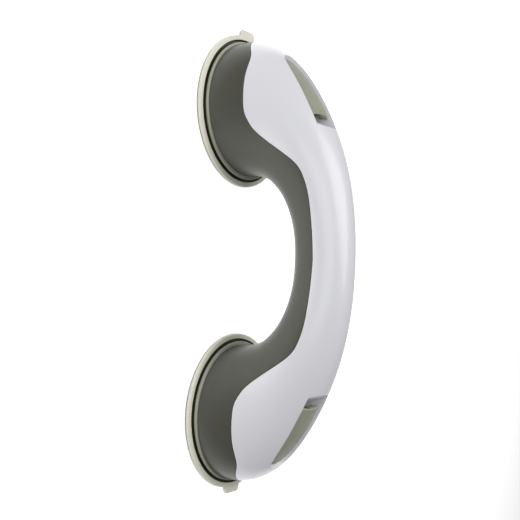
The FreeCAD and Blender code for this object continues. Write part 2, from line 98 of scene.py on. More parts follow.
# Floor of the well, seen from the side, from the tip to the inner end: (x, z) about the cup's axis.
WELL_FLOOR = [
    (-50.0, 14.0), (-12.0, 41.2), (13.0, 41.2), (13.0, 52.0), (10.9, 57.6), (15.6, 67.9), (18.0, 73.0),
]
# Inner end of the slot, from the cup's axis towards the middle of the bar.
MOUTH_X = 15.6


# ---------------------------------------------------------------- smooth curves
# Weights that give the slope at the first of four evenly spaced points.
END_SLOPE = np.array([-11.0, 18.0, -9.0, 2.0]) / 6.0


def smooth_through(points, stations):
    """Cubic spline through evenly numbered points, with end slopes taken from the first and last four."""
    points = np.asarray(points, float)
    stations = np.asarray(stations, float)
    count = len(points)
    first = END_SLOPE @ points[:4]
    last = -END_SLOPE @ points[:-5:-1]
    system = np.zeros((count, count))
    right = np.zeros_like(points)
    system[0, :2] = (2.0, 1.0)
    system[-1, -2:] = (1.0, 2.0)
    right[0] = 6.0 * (points[1] - points[0] - first)
    right[-1] = 6.0 * (last - points[-1] + points[-2])
    for k in range(1, count - 1):
        system[k, k - 1:k + 2] = (1.0, 4.0, 1.0)
        right[k] = 6.0 * (points[k + 1] - 2.0 * points[k] + points[k - 1])
    bend = np.linalg.solve(system, right)
    low = np.clip(np.floor(stations).astype(int), 0, count - 2)
    t = (stations - low)[:, None]
    s = 1.0 - t
    line = points[low] * s + points[low + 1] * t
    return line + (s ** 3 - s) * bend[low] / 6.0 + (t ** 3 - t) * bend[low + 1] / 6.0


def curve_points(points, per_span):
    """Dense points on the spline through a short list."""
    stations = np.linspace(0.0, len(points) - 1.0, (len(points) - 1) * per_span + 1)
    return smooth_through(points, stations)


def side_of_line(flat, line):
    """Signed distance from 2-D points to an open polyline, positive on its left."""
    best = np.full(len(flat), np.inf)
    sign = np.ones(len(flat))
    for a, b in zip(line[:-1], line[1:]):
        run = b - a
        away = flat - a
        t = np.clip(away @ run / (run @ run), 0.0, 1.0)
        gap = away - t[:, None] * run
        distance = np.hypot(gap[:, 0], gap[:, 1])
        left = run[0] * away[:, 1] - run[1] * away[:, 0]
        nearer = distance < best - TINY
        best = np.where(nearer, distance, best)
        sign = np.where(nearer, np.where(left >= 0.0, 1.0, -1.0), sign)
    return best * sign


# ---------------------------------------------------------------- the bar's outer form
# Steps for measuring slopes, in (turn, along) and in space.
PARAM_STEP = 0.002
PROBE = 0.05
# Smaller distances are corrected where a limit meets the surface at a slant, down to a least slope.
NEAR_EDGE = 4.0
LEAST_SLOPE = 0.2
# Sum of a face's distances below which it lies outside a limit.
SLIVER = 1e-7
# Rows across a rolled edge, in degrees of its quarter turn.
ROLL_ROWS = (72.0, 54.0, 36.0, 18.0, 0.0)


class Form:
    """Swept outer form, shrunk by an inset. turn goes round a ring from the hand side, along end to end."""

    def __init__(self, inset=0.0):
        rows = []
        for near, far, width in RINGS:
            near, far = np.array(near), np.array(far)
            half = (near - far) / 2.0
            half *= 1.0 - inset / np.hypot(*half)
            rows.append([*((near + far) / 2.0), *half, width - inset])
        mirrored = [[-cx, cz, -hx, hz, w] for cx, cz, hx, hz, w in reversed(rows[:-1])]
        self.rows = np.array(rows + mirrored)

    def points(self, params):
        """Points on the form at (turn, along) pairs."""
        q = smooth_through(self.rows, params[:, 1])
        cosine, sine = np.cos(params[:, 0]), np.sin(params[:, 0])
        x, z = q[:, 0] + q[:, 2] * cosine, q[:, 1] + q[:, 3] * cosine
        return np.stack([x, q[:, 4] * sine, z], axis=1)

    def normals(self, params):
        """Outward directions of the form at (turn, along) pairs."""
        top = len(self.rows) - 1.0
        turn_step, along_step = np.array([PARAM_STEP, 0.0]), np.array([0.0, PARAM_STEP])
        low, high = params - along_step, params + along_step
        low[:, 1] = np.maximum(low[:, 1], 0.0)
        high[:, 1] = np.minimum(high[:, 1], top)
        round_way = self.points(params + turn_step) - self.points(params - turn_step)
        long_way = self.points(high) - self.points(low)
        normal = np.cross(round_way, long_way)
        normal /= np.linalg.norm(normal, axis=1)[:, None]
        middle = smooth_through(self.rows, params[:, 1])
        centre = np.stack([middle[:, 0], np.zeros(len(middle)), middle[:, 1]], axis=1)
        away = self.points(params) - centre
        return normal * np.sign((normal * away).sum(axis=1))[:, None]


def gradient_of(distance, points):
    """Slope of a distance function in space."""
    parts = []
    for axis in np.eye(3):
        ahead = distance(points + axis * PROBE)
        behind = distance(points - axis * PROBE)
        parts.append((ahead - behind) / (2.0 * PROBE))
    return np.stack(parts, axis=1)


class Patch:
    """Faces on a form, held as (turn, along) pairs so that every cut stays on the curved surface."""

    def __init__(self, form, turns, alongs, limits):
        self.form = form
        self.limits = limits
        wide = len(turns)
        self.params = np.array([(turn, along) for along in alongs for turn in turns])
        self.faces = []
        for row in range(len(alongs) - 1):
            for column in range(wide - 1):
                corner = row * wide + column
                self.faces.append([corner, corner + 1, corner + wide + 1, corner + wide])
        self.values = [self.measure(limit, self.params) for limit in limits]

    def measure(self, limit, params):
        """Distance along the surface from the edge that a limit draws, positive where material stays."""
        value = limit(self.form.points(params))
        near = np.abs(value) < NEAR_EDGE
        if near.any():
            normals = self.form.normals(params[near])
            slope = gradient_of(limit, self.form.points(params[near]))
            slope -= (slope * normals).sum(axis=1)[:, None] * normals
            value[near] /= np.maximum(np.linalg.norm(slope, axis=1), LEAST_SLOPE)
        return value

    def cut(self, number, level):
        """Splits every face where one limit's distance passes a level."""
        value = self.values[number] - level
        start = len(self.params)
        made, fresh, faces = {}, [], []
        high = (value > 0.0).tolist()
        for face in self.faces:
            count = sum([high[i] for i in face])
            if count == 0 or count == len(face):
                faces.append(face)
                continue
            above, below = [], []
            for a, b in zip(face, face[1:] + face[:1]):
                (above if high[a] else below).append(a)
                if high[a] == high[b]:
                    continue
                key = (min(a, b), max(a, b))
                if key not in made:
                    t = value[a] / (value[a] - value[b])
                    made[key] = start + len(fresh)
                    fresh.append(self.params[a] * (1.0 - t) + self.params[b] * t)
                above.append(made[key])
                below.append(made[key])
            faces += [above, below]
        self.faces = faces
        if not fresh:
            return
        fresh = np.array(fresh)
        self.params = np.concatenate([self.params, fresh])
        for k, limit in enumerate(self.limits):
            added = self.measure(limit, fresh) if k != number else np.full(len(fresh), level)
            self.values[k] = np.concatenate([self.values[k], added])

    def trim(self, radius):
        """Cuts every limit's edge, drops what lies outside it and cuts the rows of its roll."""
        for number in range(len(self.limits)):
            self.cut(number, 0.0)
            value = self.values[number].tolist()
            self.faces = [face for face in self.faces if sum([value[i] for i in face]) > SLIVER]
        for number in range(len(self.limits)):
            for angle in ROLL_ROWS:
                self.cut(number, radius * (1.0 - math.sin(math.radians(angle))))

    def shaped(self, radius):
        """Points and normals with every trimmed edge rolled inward by a radius."""
        points, normals = self.form.points(self.params), self.form.normals(self.params)
        depth = np.zeros(len(points))
        tilted = normals.copy()
        for number, limit in enumerate(self.limits):
            lean = (radius - np.clip(self.values[number], 0.0, radius)) / radius
            drop = radius * (1.0 - np.sqrt(1.0 - lean ** 2))
            more = drop > depth + TINY
            if not more.any():
                continue
            facing, lean = normals[more], lean[more]
            slope = gradient_of(limit, points[more])
            slope -= (slope * facing).sum(axis=1)[:, None] * facing
            slope /= np.maximum(np.linalg.norm(slope, axis=1), SMALL)[:, None]
            tilted[more] = facing * np.sqrt(1.0 - lean ** 2)[:, None] - slope * lean[:, None]
            depth[more] = drop[more]
        return points - normals * depth[:, None], tilted

    def rim_edges(self, number):
        """Edges of single faces along one limit's trimmed edge, in face order."""
        on_edge = (np.abs(self.values[number]) < TINY).tolist()
        found = {}
        for face in self.faces:
            for a, b in zip(face, face[1:] + face[:1]):
                if on_edge[a] and on_edge[b]:
                    found[(a, b)] = True
        return [(a, b) for a, b in found if (b, a) not in found]


class Builder:
    """Collects points, normals and faces for one mesh."""

    def __init__(self):
        self.points, self.normals, self.edges, self.faces = [], [], [], []

    def add(self, points, normals, faces, edges=None):
        """Adds points with their normals; edges says how near each one is to a rim, from 0 to 1."""
        start = len(self.points)
        self.points += [tuple(p) for p in points]
        self.normals += [tuple(n) for n in normals]
        self.edges += list(np.zeros(len(points)) if edges is None else edges)
        self.faces += [[start + i for i in face] for face in faces]

    def make(self, name, material, sign=-1):
        """Makes the mesh object with its normals and material. The left-hand drawing is mirrored for +1."""
        used = sorted({i for face in self.faces for i in face})
        renumber = {old: new for new, old in enumerate(used)}
        side = np.array([-sign, 1.0, 1.0])
        faces = [[renumber[i] for i in face] for face in self.faces]
        if sign > 0:
            faces = [face[::-1] for face in faces]
        mesh = bpy.data.meshes.new(name)
        points = [tuple(np.array(self.points[i]) * side * MM) for i in used]
        normals = [tuple(np.array(self.normals[i]) * side) for i in used]
        mesh.from_pydata(points, [], faces)
        mesh.polygons.foreach_set("use_smooth", [True] * len(faces))
        mesh.normals_split_custom_set_from_vertices(normals)
        nearness = mesh.attributes.new(EDGE_NAME, "FLOAT", "POINT")
        nearness.data.foreach_set("value", [float(self.edges[i]) for i in used])
        mesh.materials.append(material)
        mesh.update()
        made = bpy.data.objects.new(name, mesh)
        bpy.context.scene.collection.objects.link(made)
        return made


def start_skin(patch, radius):
    """Trims a patch and rolls its edges. Gives a new builder that holds it, with its points and normals."""
    patch.trim(radius)
    points, normals = patch.shaped(radius)
    nearest = np.min(patch.values, axis=0)
    builder = Builder()
    builder.add(points, normals, patch.faces, np.clip(1.0 - nearest / EDGE_REACH, 0.0, 1.0))
    return builder, points, normals


def add_rim_wall(builder, patch, number, points, normals, sink, rows):
    """Hangs a wall from a trimmed edge. sink gives the wall's foot under each point."""
    edges = patch.rim_edges(number)
    used = sorted({i for edge in edges for i in edge})
    place = {old: new for new, old in enumerate(used)}
    top = points[used]
    foot = sink(top, used)
    steps = np.linspace(0.0, 1.0, rows + 1)
    wall = np.concatenate([top * (1.0 - s) + foot * s for s in steps])
    count = len(used)
    faces = []
    for a, b in edges:
        for row in range(rows):
            low, high = row * count, (row + 1) * count
            faces.append([place[b] + low, place[a] + low, place[a] + high, place[b] + high])
    builder.add(wall, np.tile(normals[used], (rows + 1, 1)), faces)


# ---------------------------------------------------------------- edges of the shells, slots and levers
# Points drawn in each span of the seam, and of the slot's and the lever's outlines.
SEAM_SPAN_POINTS = 6
TONGUE_SPAN_POINTS = 5
HALF_SEAM = curve_points(SEAM, SEAM_SPAN_POINTS)
SEAM_LINE = np.concatenate([HALF_SEAM, (HALF_SEAM * [-1.0, 1.0])[::-1][1:]])
# Each shell stops this far from the seam, and the bells this far above the plates' rims.
SEAM_GAP = 0.08
RIM_GAP = 0.02
MOUTH_CORNER = 0.4
LEVER_CORNER = 1.8


def above_seam(points):
    """Distance from the seam on the white cover's side."""
    return side_of_line(points[:, [0, 2]], SEAM_LINE)


def cover_side(points):
    """Distance from the white cover's edge, positive on the cover."""
    return above_seam(points) - SEAM_GAP


def body_side(points):
    """Distance from the grey body's upper edge, positive on the body."""
    return -above_seam(points) - SEAM_GAP


def above_rim(points):
    """Height above the bells' lower edge."""
    return points[:, 2] - RIM_Z - RIM_GAP


def slope_axes(points, sign):
    """Along, across and depth in a head's slope axes, measured from the lever's pivot."""
    x = -sign * points[:, 0] + CUP_X
    x = np.where(sign * points[:, 0] < 0.0, FAR, x)
    z = points[:, 2] - PIVOT_Z
    return (x * math.cos(SLOPE) + z * math.sin(SLOPE), points[:, 1],
            -x * math.sin(SLOPE) + z * math.cos(SLOPE))


def from_slope(along, across, depth, sign):
    """Point from a head's slope axes."""
    x = along * math.cos(SLOPE) - depth * math.sin(SLOPE)
    z = along * math.sin(SLOPE) + depth * math.cos(SLOPE) + PIVOT_Z
    return np.stack([sign * (CUP_X - x), across, z], axis=1)


def tongue_distance(half_outline, along, across):
    """Signed distance from a tapered tongue's outline, negative inside. It is open at its inner end."""
    side = curve_points(half_outline, TONGUE_SPAN_POINTS)
    closed = np.concatenate([side[::-1], (side * [1.0, -1.0])[1:]])
    return -side_of_line(np.stack([along, across], axis=1), closed)


def rounded_corner(a, b, radius):
    """Overlap of two regions, given as negative distances, with its corner rounded."""
    a, b = a + radius, b + radius
    outside = np.hypot(np.maximum(a, 0.0), np.maximum(b, 0.0))
    return outside + np.minimum(np.maximum(a, b), 0.0) - radius


def outside_slot(sign):
    """Distance from the slot on one head, positive on the cover."""
    def distance(points):
        along, across, _ = slope_axes(points, sign)
        mouth = CUP_X - sign * points[:, 0] - MOUTH_X
        far = np.where(sign * points[:, 0] < 0.0, FAR, 0.0)
        return rounded_corner(tongue_distance(SLOT, along, across), mouth, MOUTH_CORNER) + far
    return distance


def inside_lever(sign):
    """Distance from the lever's outline on one head, positive on the lever."""
    def distance(points):
        along, across, _ = slope_axes(points, sign)
        tongue = tongue_distance(LEVER, along, across)
        return -rounded_corner(tongue, along - LEVER_END, LEVER_CORNER)
    return distance


def place_body(piece, body, node):
    """Rides a piece on a body, in place of one named part."""
    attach(piece, body)
    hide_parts(node)


# ---------------------------------------------------------------- turned and flat pieces
# Largest share of a straight run that one rounded corner takes.
CORNER_SHARE = 0.48
# How strongly a bend in a turned profile counts as an edge that wears.
BEND_WEAR = 6.0
# Rows across a plate's rolled edge.
PLATE_ROLL_ROWS = 4


def rounded(corners, steps=5):
    """Line through (across, up, radius) corners, with every inner corner eased by its radius."""
    line = [np.array(corners[0][:2], float)]
    for before, corner, after in zip(corners, corners[1:], corners[2:]):
        tip = np.array(corner[:2], float)
        back = np.array(before[:2]) - tip
        ahead = np.array(after[:2]) - tip
        long_back, long_ahead = np.hypot(*back), np.hypot(*ahead)
        back, ahead = back / long_back, ahead / long_ahead
        half = math.acos(float(np.clip(back @ ahead, -1.0, 1.0))) / 2.0
        reach = min(corner[2] / math.tan(half), CORNER_SHARE * long_back, CORNER_SHARE * long_ahead)
        if reach < SMALL:
            line.append(tip)
            continue
        start, end = tip + back * reach, tip + ahead * reach
        for s in np.linspace(0.0, 1.0, steps + 1):
            line.append((1.0 - s) ** 2 * start + 2.0 * s * (1.0 - s) * tip + s * s * end)
    line.append(np.array(corners[-1][:2], float))
    return np.array(line)


def outward(line, closed=False):
    """Normals on the right of a 2-D line."""
    if closed:
        run = np.roll(line, -1, axis=0) - np.roll(line, 1, axis=0)
    else:
        steps = np.diff(line, axis=0)
        steps /= np.linalg.norm(steps, axis=1)[:, None]
        run = np.concatenate([steps[:1], steps[:-1] + steps[1:], steps[-1:]])
    run /= np.maximum(np.linalg.norm(run, axis=1), TINY)[:, None]
    return np.stack([run[:, 1], -run[:, 0]], axis=1)


def add_lathe(builder, line, turns):
    """Turns a (radius, height) line about a cup's axis. The solid is on the line's left."""
    facing = outward(line)
    bends = np.abs(np.cross(facing[:-1], facing[1:]))
    sharpest = np.maximum(np.append(bends, 0.0), np.append(0.0, bends))
    curved = np.clip(sharpest * BEND_WEAR, 0.0, 1.0)
    angles = np.linspace(0.0, 2.0 * math.pi, turns, endpoint=False)
    points, normals, edges, rings = [], [], [], []
    for (radius, height), (out, up), bend in zip(line, facing, curved):
        number = 1 if radius < SMALL else turns
        rings.append((len(points), number))
        for angle in angles[:number]:
            cosine, sine = math.cos(angle), math.sin(angle)
            points.append((radius * cosine - CUP_X, radius * sine, height))
            normals.append((out * cosine, out * sine, up) if number > 1 else (0, 0, up))
            edges.append(bend)
    faces = []
    for (low, low_count), (high, high_count) in zip(rings[:-1], rings[1:]):
        for k in range(turns):
            after = (k + 1) % turns
            below = [low + k % low_count, low + after % low_count]
            above = [high + after % high_count, high + k % high_count]
            faces.append(list(dict.fromkeys(below + above)))
    builder.add(points, normals, faces, edges)


def plate_rows(outline, facing, low, high, roll):
    """Rows round a rolled plate, from low to high: (outline, height, outward lean, upward lean)."""
    rows = []
    for end, way in ((low, -1.0), (high, 1.0)):
        angles = np.linspace(0.5 * math.pi, 0.0, PLATE_ROLL_ROWS + 1)
        for angle in angles if way < 0.0 else angles[::-1]:
            inset = roll * (1.0 - math.cos(angle))
            level = end - way * roll * (1.0 - math.sin(angle))
            rows.append((outline - facing * inset, level, math.cos(angle), way * math.sin(angle)))
    return rows


def add_bore(builder, spokes, radius, low, high, place):
    """Wall of a plate's round hole, with a point on each spoke."""
    count = len(spokes)
    wall = [place(*(spoke * radius), level) for level in (low, high) for spoke in spokes]
    facing = []
    for spoke, edge in zip(spokes, wall):
        inner = place(*(spoke * radius - spoke), low)
        facing.append(np.array(inner) - np.array(edge))
    faces = [[k, count + k, count + (k + 1) % count, (k + 1) % count] for k in range(count)]
    builder.add(wall, facing * 2, faces)


def add_plate(builder, outline, low, high, roll, place, hole=None):
    """Flat plate with rolled edges and sometimes a round hole. place turns (u, v, height) into a point."""
    facing = outward(outline, closed=True)
    count = len(outline)
    rows = plate_rows(outline, facing, low, high, roll)
    if hole is not None:
        turn = np.arctan2(outline[:, 1], outline[:, 0])
        spokes = np.stack([np.cos(turn), np.sin(turn)], axis=1)
        rows = [(spokes * hole, low, 0.0, -1.0)] + rows + [(spokes * hole, high, 0.0, 1.0)]
    points, normals, edges, faces = [], [], [], []
    for number, (flat, level, out, up) in enumerate(rows):
        on_hole = hole is not None and number in (0, len(rows) - 1)
        for (u, v), (out_u, out_v) in zip(flat, facing):
            points.append(place(u, v, level))
            tip = place(u + out_u * out, v + out_v * out, level + up)
            normals.append(np.array(tip) - np.array(points[-1]))
            edges.append(0.0 if on_hole else 1.0)
    for row in range(len(rows) - 1):
        below, above = row * count, (row + 1) * count
        for k in range(count):
            after = (k + 1) % count
            faces.append([below + k, below + after, above + after, above + k])
    if hole is None:
        top = (len(rows) - 1) * count
        faces.append(list(range(count))[::-1])
        faces.append(list(range(top, top + count)))
    builder.add(points, normals, faces, edges)
    if hole is not None:
        add_bore(builder, spokes, hole, low, high, place)


# ---------------------------------------------------------------- materials
def new_node(tree, kind, inputs=None, **settings):
    """Adds a shader node. Each input is a plain value or another node's output."""
    made = tree.nodes.new(kind)
    for key, value in settings.items():
        setattr(made, key, value)
    for key, value in (inputs or {}).items():
        if isinstance(value, bpy.types.NodeSocket):
            tree.links.new(value, made.inputs[key])
        else:
            made.inputs[key].default_value = value
    return made


def mixed(tree, share, first, second):
    """Colour between two colours or sockets."""
    mix = new_node(tree, "ShaderNodeMix", data_type="RGBA")
    for socket, value in ((mix.inputs[0], share), (mix.inputs[6], first), (mix.inputs[7], second)):
        if isinstance(value, bpy.types.NodeSocket):
            tree.links.new(value, socket)
        else:
            socket.default_value = value
    return mix.outputs[2]


def spread(tree, value, low, high, start=0.2, end=0.8):
    """Maps a value from start..end to low..high. Plain noise mostly lies between the default ends."""
    inputs = {"Value": value, "From Min": start, "From Max": end, "To Min": low, "To Max": high}
    return new_node(tree, "ShaderNodeMapRange", inputs).outputs["Result"]


def noise(tree, place, scale, detail=3.0):
    """Soft noise over object coordinates, in features per metre."""
    inputs = {"Vector": place, "Scale": scale, "Detail": detail}
    return new_node(tree, "ShaderNodeTexNoise", inputs).outputs["Fac"]


def toned(colour, factor):
    """Colour made lighter or darker, with its alpha."""
    return (*[min(1.0, channel * factor) for channel in colour], 1.0)


# Sizes of the noise patterns, in features per metre.
BROAD_SCALE = 34.0
GLOSS_SCALE = 90.0
RIPPLE_SCALE = 150.0
# Streaks are this many times coarser than the grain.
STREAK_RATIO = 6.0
# Base of the mottling, the range of it that shades the colour, and the range of rubbing that wears an edge.
MOTTLE_BASE = 0.25
MOTTLE_RANGE = (0.3, 0.75)
RUB_RANGE = (0.25, 0.75)
MOST_WORN = 0.8
# Heights of the relief, in metres.
RIPPLE_HEIGHT = 0.002
GRAIN_HEIGHT = 0.0004
COAT_ROUGHNESS = 0.12
# Painted shade: the colour darkens towards this dark olive where little of the sky is open within a short
# distance, in metres.
RECESS_DEPTH = 0.004
RECESS_SHADE = (0.050, 0.046, 0.028, 1.0)


class Finish:
    """One moulded or metal surface. recess gives the openness where the painted shade in recesses is full
    and where it ends.
    """

    def __init__(self, name, colour, roughness, drift=0.05, uneven=0.05, grain=0.02, grain_scale=2600.0,
                 ripple=0.02, wear=1.15, stretch=(1.0, 1.0, 1.0), metallic=0.0, coat=0.0, recess=None):
        self.name, self.colour, self.roughness = name, colour, roughness
        self.drift, self.uneven, self.grain, self.grain_scale = drift, uneven, grain, grain_scale
        self.ripple, self.wear, self.stretch = ripple, wear, stretch
        self.metallic, self.coat, self.recess = metallic, coat, recess

    def surface_colour(self, tree, place, stretched):
        """Colour that drifts and mottles, lighter on rubbed edges, with painted shade darkening recesses."""
        edge = new_node(tree, "ShaderNodeAttribute", attribute_name=EDGE_NAME).outputs["Fac"]
        broad = noise(tree, place, BROAD_SCALE)
        streak = noise(tree, stretched, self.grain_scale / STREAK_RATIO)
        mottle = new_node(tree, "ShaderNodeMath", {0: broad, 1: streak, 2: MOTTLE_BASE},
                          operation="MULTIPLY_ADD").outputs[0]
        shade = spread(tree, mottle, 0.0, 1.0, *MOTTLE_RANGE)
        base = mixed(tree, shade, toned(self.colour, 1.0 - self.drift), toned(self.colour, 1.0 + self.drift))
        rubbed = new_node(tree, "ShaderNodeMath", {0: edge, 1: broad}, operation="MULTIPLY").outputs[0]
        worn = spread(tree, rubbed, 0.0, MOST_WORN, *RUB_RANGE)
        colour = mixed(tree, worn, base, toned(self.colour, self.wear))
        if self.recess:
            # Painted shade: ambient occlusion darkens the colour in grooves and crevices.
            openness = new_node(tree, "ShaderNodeAmbientOcclusion", {"Distance": RECESS_DEPTH}).outputs["AO"]
            colour = mixed(tree, spread(tree, openness, 0.0, 1.0, *self.recess), RECESS_SHADE, colour)
        return colour

    def relief(self, tree, place, stretched):
        """Surface normal with faint ripples under a fine grain."""
        fine = noise(tree, stretched, self.grain_scale, detail=2.0)
        waves = noise(tree, place, RIPPLE_SCALE, detail=1.0)
        ripple_inputs = {"Height": waves, "Strength": self.ripple, "Distance": RIPPLE_HEIGHT}
        ripples = new_node(tree, "ShaderNodeBump", ripple_inputs).outputs["Normal"]
        grain_inputs = {"Height": fine, "Strength": self.grain, "Distance": GRAIN_HEIGHT, "Normal": ripples}
        return new_node(tree, "ShaderNodeBump", grain_inputs).outputs["Normal"]

    def make(self):
        """Material with drifting colour, uneven gloss, a fine grain, faint ripples and rubbed edges."""
        material = bpy.data.materials.new(self.name)
        material.use_nodes = True
        tree = material.node_tree
        shader = tree.nodes["Principled BSDF"]
        place = new_node(tree, "ShaderNodeTexCoord").outputs["Object"]
        mapping = new_node(tree, "ShaderNodeMapping", {"Vector": place, "Scale": self.stretch},
                           vector_type="TEXTURE")
        stretched = mapping.outputs["Vector"]
        gloss = noise(tree, place, GLOSS_SCALE)
        gloss = spread(tree, gloss, self.roughness - self.uneven, self.roughness + self.uneven)
        tree.links.new(self.surface_colour(tree, place, stretched), shader.inputs["Base Color"])
        tree.links.new(gloss, shader.inputs["Roughness"])
        tree.links.new(self.relief(tree, place, stretched), shader.inputs["Normal"])
        shader.inputs["Metallic"].default_value = self.metallic
        shader.inputs["Coat Weight"].default_value = self.coat
        shader.inputs["Coat Roughness"].default_value = COAT_ROUGHNESS
        return material


# Stretches of the grain on the levers and on the turned steel.
LEVER_STRETCH = (9.0, 1.0, 9.0)
STEEL_STRETCH = (1.0, 1.0, 12.0)
cover_plastic = Finish("white_gloss_plastic", (0.72, 0.72, 0.755), 0.32, drift=0.006, uneven=0.006,
                       grain_scale=1100.0, ripple=0.012, wear=1.06, coat=0.2).make()
body_plastic = Finish("grey_soft_plastic", (0.058, 0.058, 0.043), 0.36, drift=0.08, uneven=0.04, grain=0.12,
                      grain_scale=1300.0, ripple=0.03, wear=1.3).make()
plate_plastic = Finish("pale_olive_plastic", (0.38, 0.39, 0.31), 0.42, grain=0.16, wear=1.2).make()
# The cream rubber has painted shade in its grooves, from ambient occlusion.
disc_rubber = Finish("cream_rubber", (0.74, 0.73, 0.62), 0.46, drift=0.04, uneven=0.07, grain=0.2,
                     grain_scale=1700.0, ripple=0.04, wear=1.06, recess=(0.45, 0.85)).make()
lever_plastic = Finish("lever_olive_plastic", (0.31, 0.32, 0.245), 0.46, drift=0.13, uneven=0.06, grain=0.5,
                       grain_scale=5200.0, wear=1.2, stretch=LEVER_STRETCH).make()
insert_plastic = Finish("insert_dark_plastic", (0.06, 0.06, 0.065), 0.45, drift=0.08, grain=0.2).make()
steel = Finish("brushed_steel", (0.60, 0.60, 0.61), 0.30, uneven=0.08, grain=0.3,
               grain_scale=4200.0, stretch=STEEL_STRETCH, metallic=1.0).make()
spring_steel = Finish("spring_wire_steel", (0.48, 0.48, 0.50), 0.27, drift=0.08, uneven=0.07, grain=0.2,
                      metallic=1.0).make()
washer_plastic = Finish("washer_acetal", (0.78, 0.78, 0.76), 0.34, drift=0.03, grain=0.1).make()


# ---------------------------------------------------------------- shells
# Radius of the shells' edges and the depth of what turns in from them.
ROLL = 0.35
WALL = 2.6
# Lines of the drawn skin round the bar and along the spans between its rings.
ROUND = np.linspace(0.0, 2.0 * math.pi, 161)
LENGTH = np.linspace(0.0, 14.0, 331)
# The well's floor is drawn in rows and columns under a plane above the slot, past its inner end.
FLOOR_ROWS = 130
FLOOR_COLUMNS = 25
FLOOR_TIP_GAP = 0.05
FLOOR_END = 23.6
WELL_TOP = 13.0
# Near the slot's inner end the floor stays this far under the cover's upward facing skin.
MOUTH_REACH = 12.0
SKIN_GAP = 0.1
FACES_UP = 0.2


def inward(normals, depth):
    """Foot rule for a wall that goes straight into the form."""
    return lambda top, used: top - normals[used] * depth


def well_foot(sign):
    """Foot rule for a slot's wall, down the slope's normal to the well's floor."""
    return lambda top, used: floor_under(top, sign)


def floor_under(points, sign):
    """First point of a well's floor down the slope's normal from each point."""
    start = np.stack([CUP_X - sign * points[:, 0], points[:, 2]], axis=1)
    down = np.array([math.sin(SLOPE), -math.cos(SLOPE)])
    reach = np.full(len(points), FAR)
    for a, b in zip(WELL_FLOOR[:-1], WELL_FLOOR[1:]):
        a, run = np.array(a), np.array(b) - np.array(a)
        turn = down[0] * run[1] - down[1] * run[0]
        if abs(turn) < TINY:
            continue
        gap = a - start
        t = (gap[:, 0] * run[1] - gap[:, 1] * run[0]) / turn
        s = (gap[:, 0] * down[1] - gap[:, 1] * down[0]) / turn
        hit = (s > -SMALL) & (s < 1.0 + SMALL) & (t > 0.0)
        reach = np.where(hit & (t < reach), t, reach)
    reach = np.where(reach >= FAR, WALL, reach)
    foot = points.copy()
    foot[:, 0] -= sign * down[0] * reach
    foot[:, 2] += down[1] * reach
    return foot


def by_mouth(points, sign):
    """Which points are near the slot's inner end."""
    return np.abs(CUP_X - sign * points[:, 0] - MOUTH_X) < MOUTH_REACH


def under_skin(floor, patch, sign):
    """Lowers the floor's points that would stand above the cover's skin near the slot's inner end."""
    skin = patch.form.points(patch.params)
    facing = patch.form.normals(patch.params)
    near = by_mouth(skin, sign) & (facing[:, 2] > FACES_UP)
    skin, facing = skin[near], facing[near]
    lowered = floor.copy()
    # The skin is taken as flat about its nearest point.
    for i in np.nonzero(by_mouth(floor, sign))[0]:
        aside = floor[i, :2] - skin[:, :2]
        k = int(np.argmin(np.sum(aside ** 2, axis=1)))
        height = skin[k, 2] - float(aside[k] @ facing[k, :2]) / facing[k, 2]
        lowered[i, 2] = min(floor[i, 2], height - SKIN_GAP)
    return lowered


def add_well_floor(builder, patch, sign):
    """The well's floor, as what lies under a grid drawn over the slot."""
    side = curve_points(SLOT, TONGUE_SPAN_POINTS)
    shares = np.linspace(-1.0, 1.0, FLOOR_COLUMNS)
    alongs = np.linspace(SLOT[0][0] + FLOOR_TIP_GAP, FLOOR_END, FLOOR_ROWS)
    widths = np.interp(alongs, side[:, 0], side[:, 1])
    along = np.repeat(alongs, len(shares))
    across = (widths[:, None] * shares[None, :]).ravel()
    above = from_slope(along, across, np.full(len(along), WELL_TOP), sign)
    floor = under_skin(floor_under(above, sign), patch, sign)
    grid = floor.reshape(len(alongs), len(shares), 3)
    round_way = np.gradient(grid, axis=1)
    long_way = np.gradient(grid, axis=0)
    normals = np.cross(long_way, round_way).reshape(-1, 3) * -sign
    normals /= np.maximum(np.linalg.norm(normals, axis=1), TINY)[:, None]
    faces = []
    for row in range(FLOOR_ROWS - 1):
        for column in range(FLOOR_COLUMNS - 1):
            corner = row * FLOOR_COLUMNS + column
            beyond = corner + FLOOR_COLUMNS
            faces.append([corner, beyond, beyond + 1, corner + 1])
    if sign > 0:
        faces = [face[::-1] for face in faces]
    builder.add(floor, normals, faces)


def top_cover():
    """White shell: the outside of the bar above the seam, with a well for each lever."""
    form = Form()
    patch = Patch(form, ROUND, LENGTH, [cover_side, outside_slot(-1), outside_slot(1)])
    builder, points, normals = start_skin(patch, ROLL)
    turned_in = inward(form.normals(patch.params), WALL)
    add_rim_wall(builder, patch, 0, points, normals, turned_in, rows=2)
    for number, (_, sign) in enumerate(SIDES, start=1):
        add_rim_wall(builder, patch, number, points, normals, well_foot(sign), rows=4)
        add_well_floor(builder, patch, sign)
    place_body(builder.make("cover_shell", cover_plastic), "housing", "top_cover")


def lower_body():
    """Grey shell: the two bells and the underside of the hand bow."""
    form = Form()
    patch = Patch(form, ROUND, LENGTH, [body_side, above_rim])
    builder, points, normals = start_skin(patch, ROLL)
    turned_in = inward(form.normals(patch.params), WALL)
    for number in (0, 1):
        add_rim_wall(builder, patch, number, points, normals, turned_in, rows=2)
    place_body(builder.make("body_shell", body_plastic), "housing", "lower_body")


# ---------------------------------------------------------------- lever
# Part of the form that the blade is cut from: turns round the bar and spans along it.
BLADE_TURNS = np.linspace(math.pi - 1.0, math.pi + 1.0, 81)
BLADE_SPANS = np.linspace(1.6, 5.6, 181)
LEVER_ROLL = 0.9
UNDER_ROLL = 0.4
# The blade's thickness is measured along the slope's normal, as if its skin leaned no further than this.
LEAST_FACING = 0.5
# The blade's blunt end slopes back underneath.
UNDERCUT = 4.5
UNDERCUT_START = 7.0
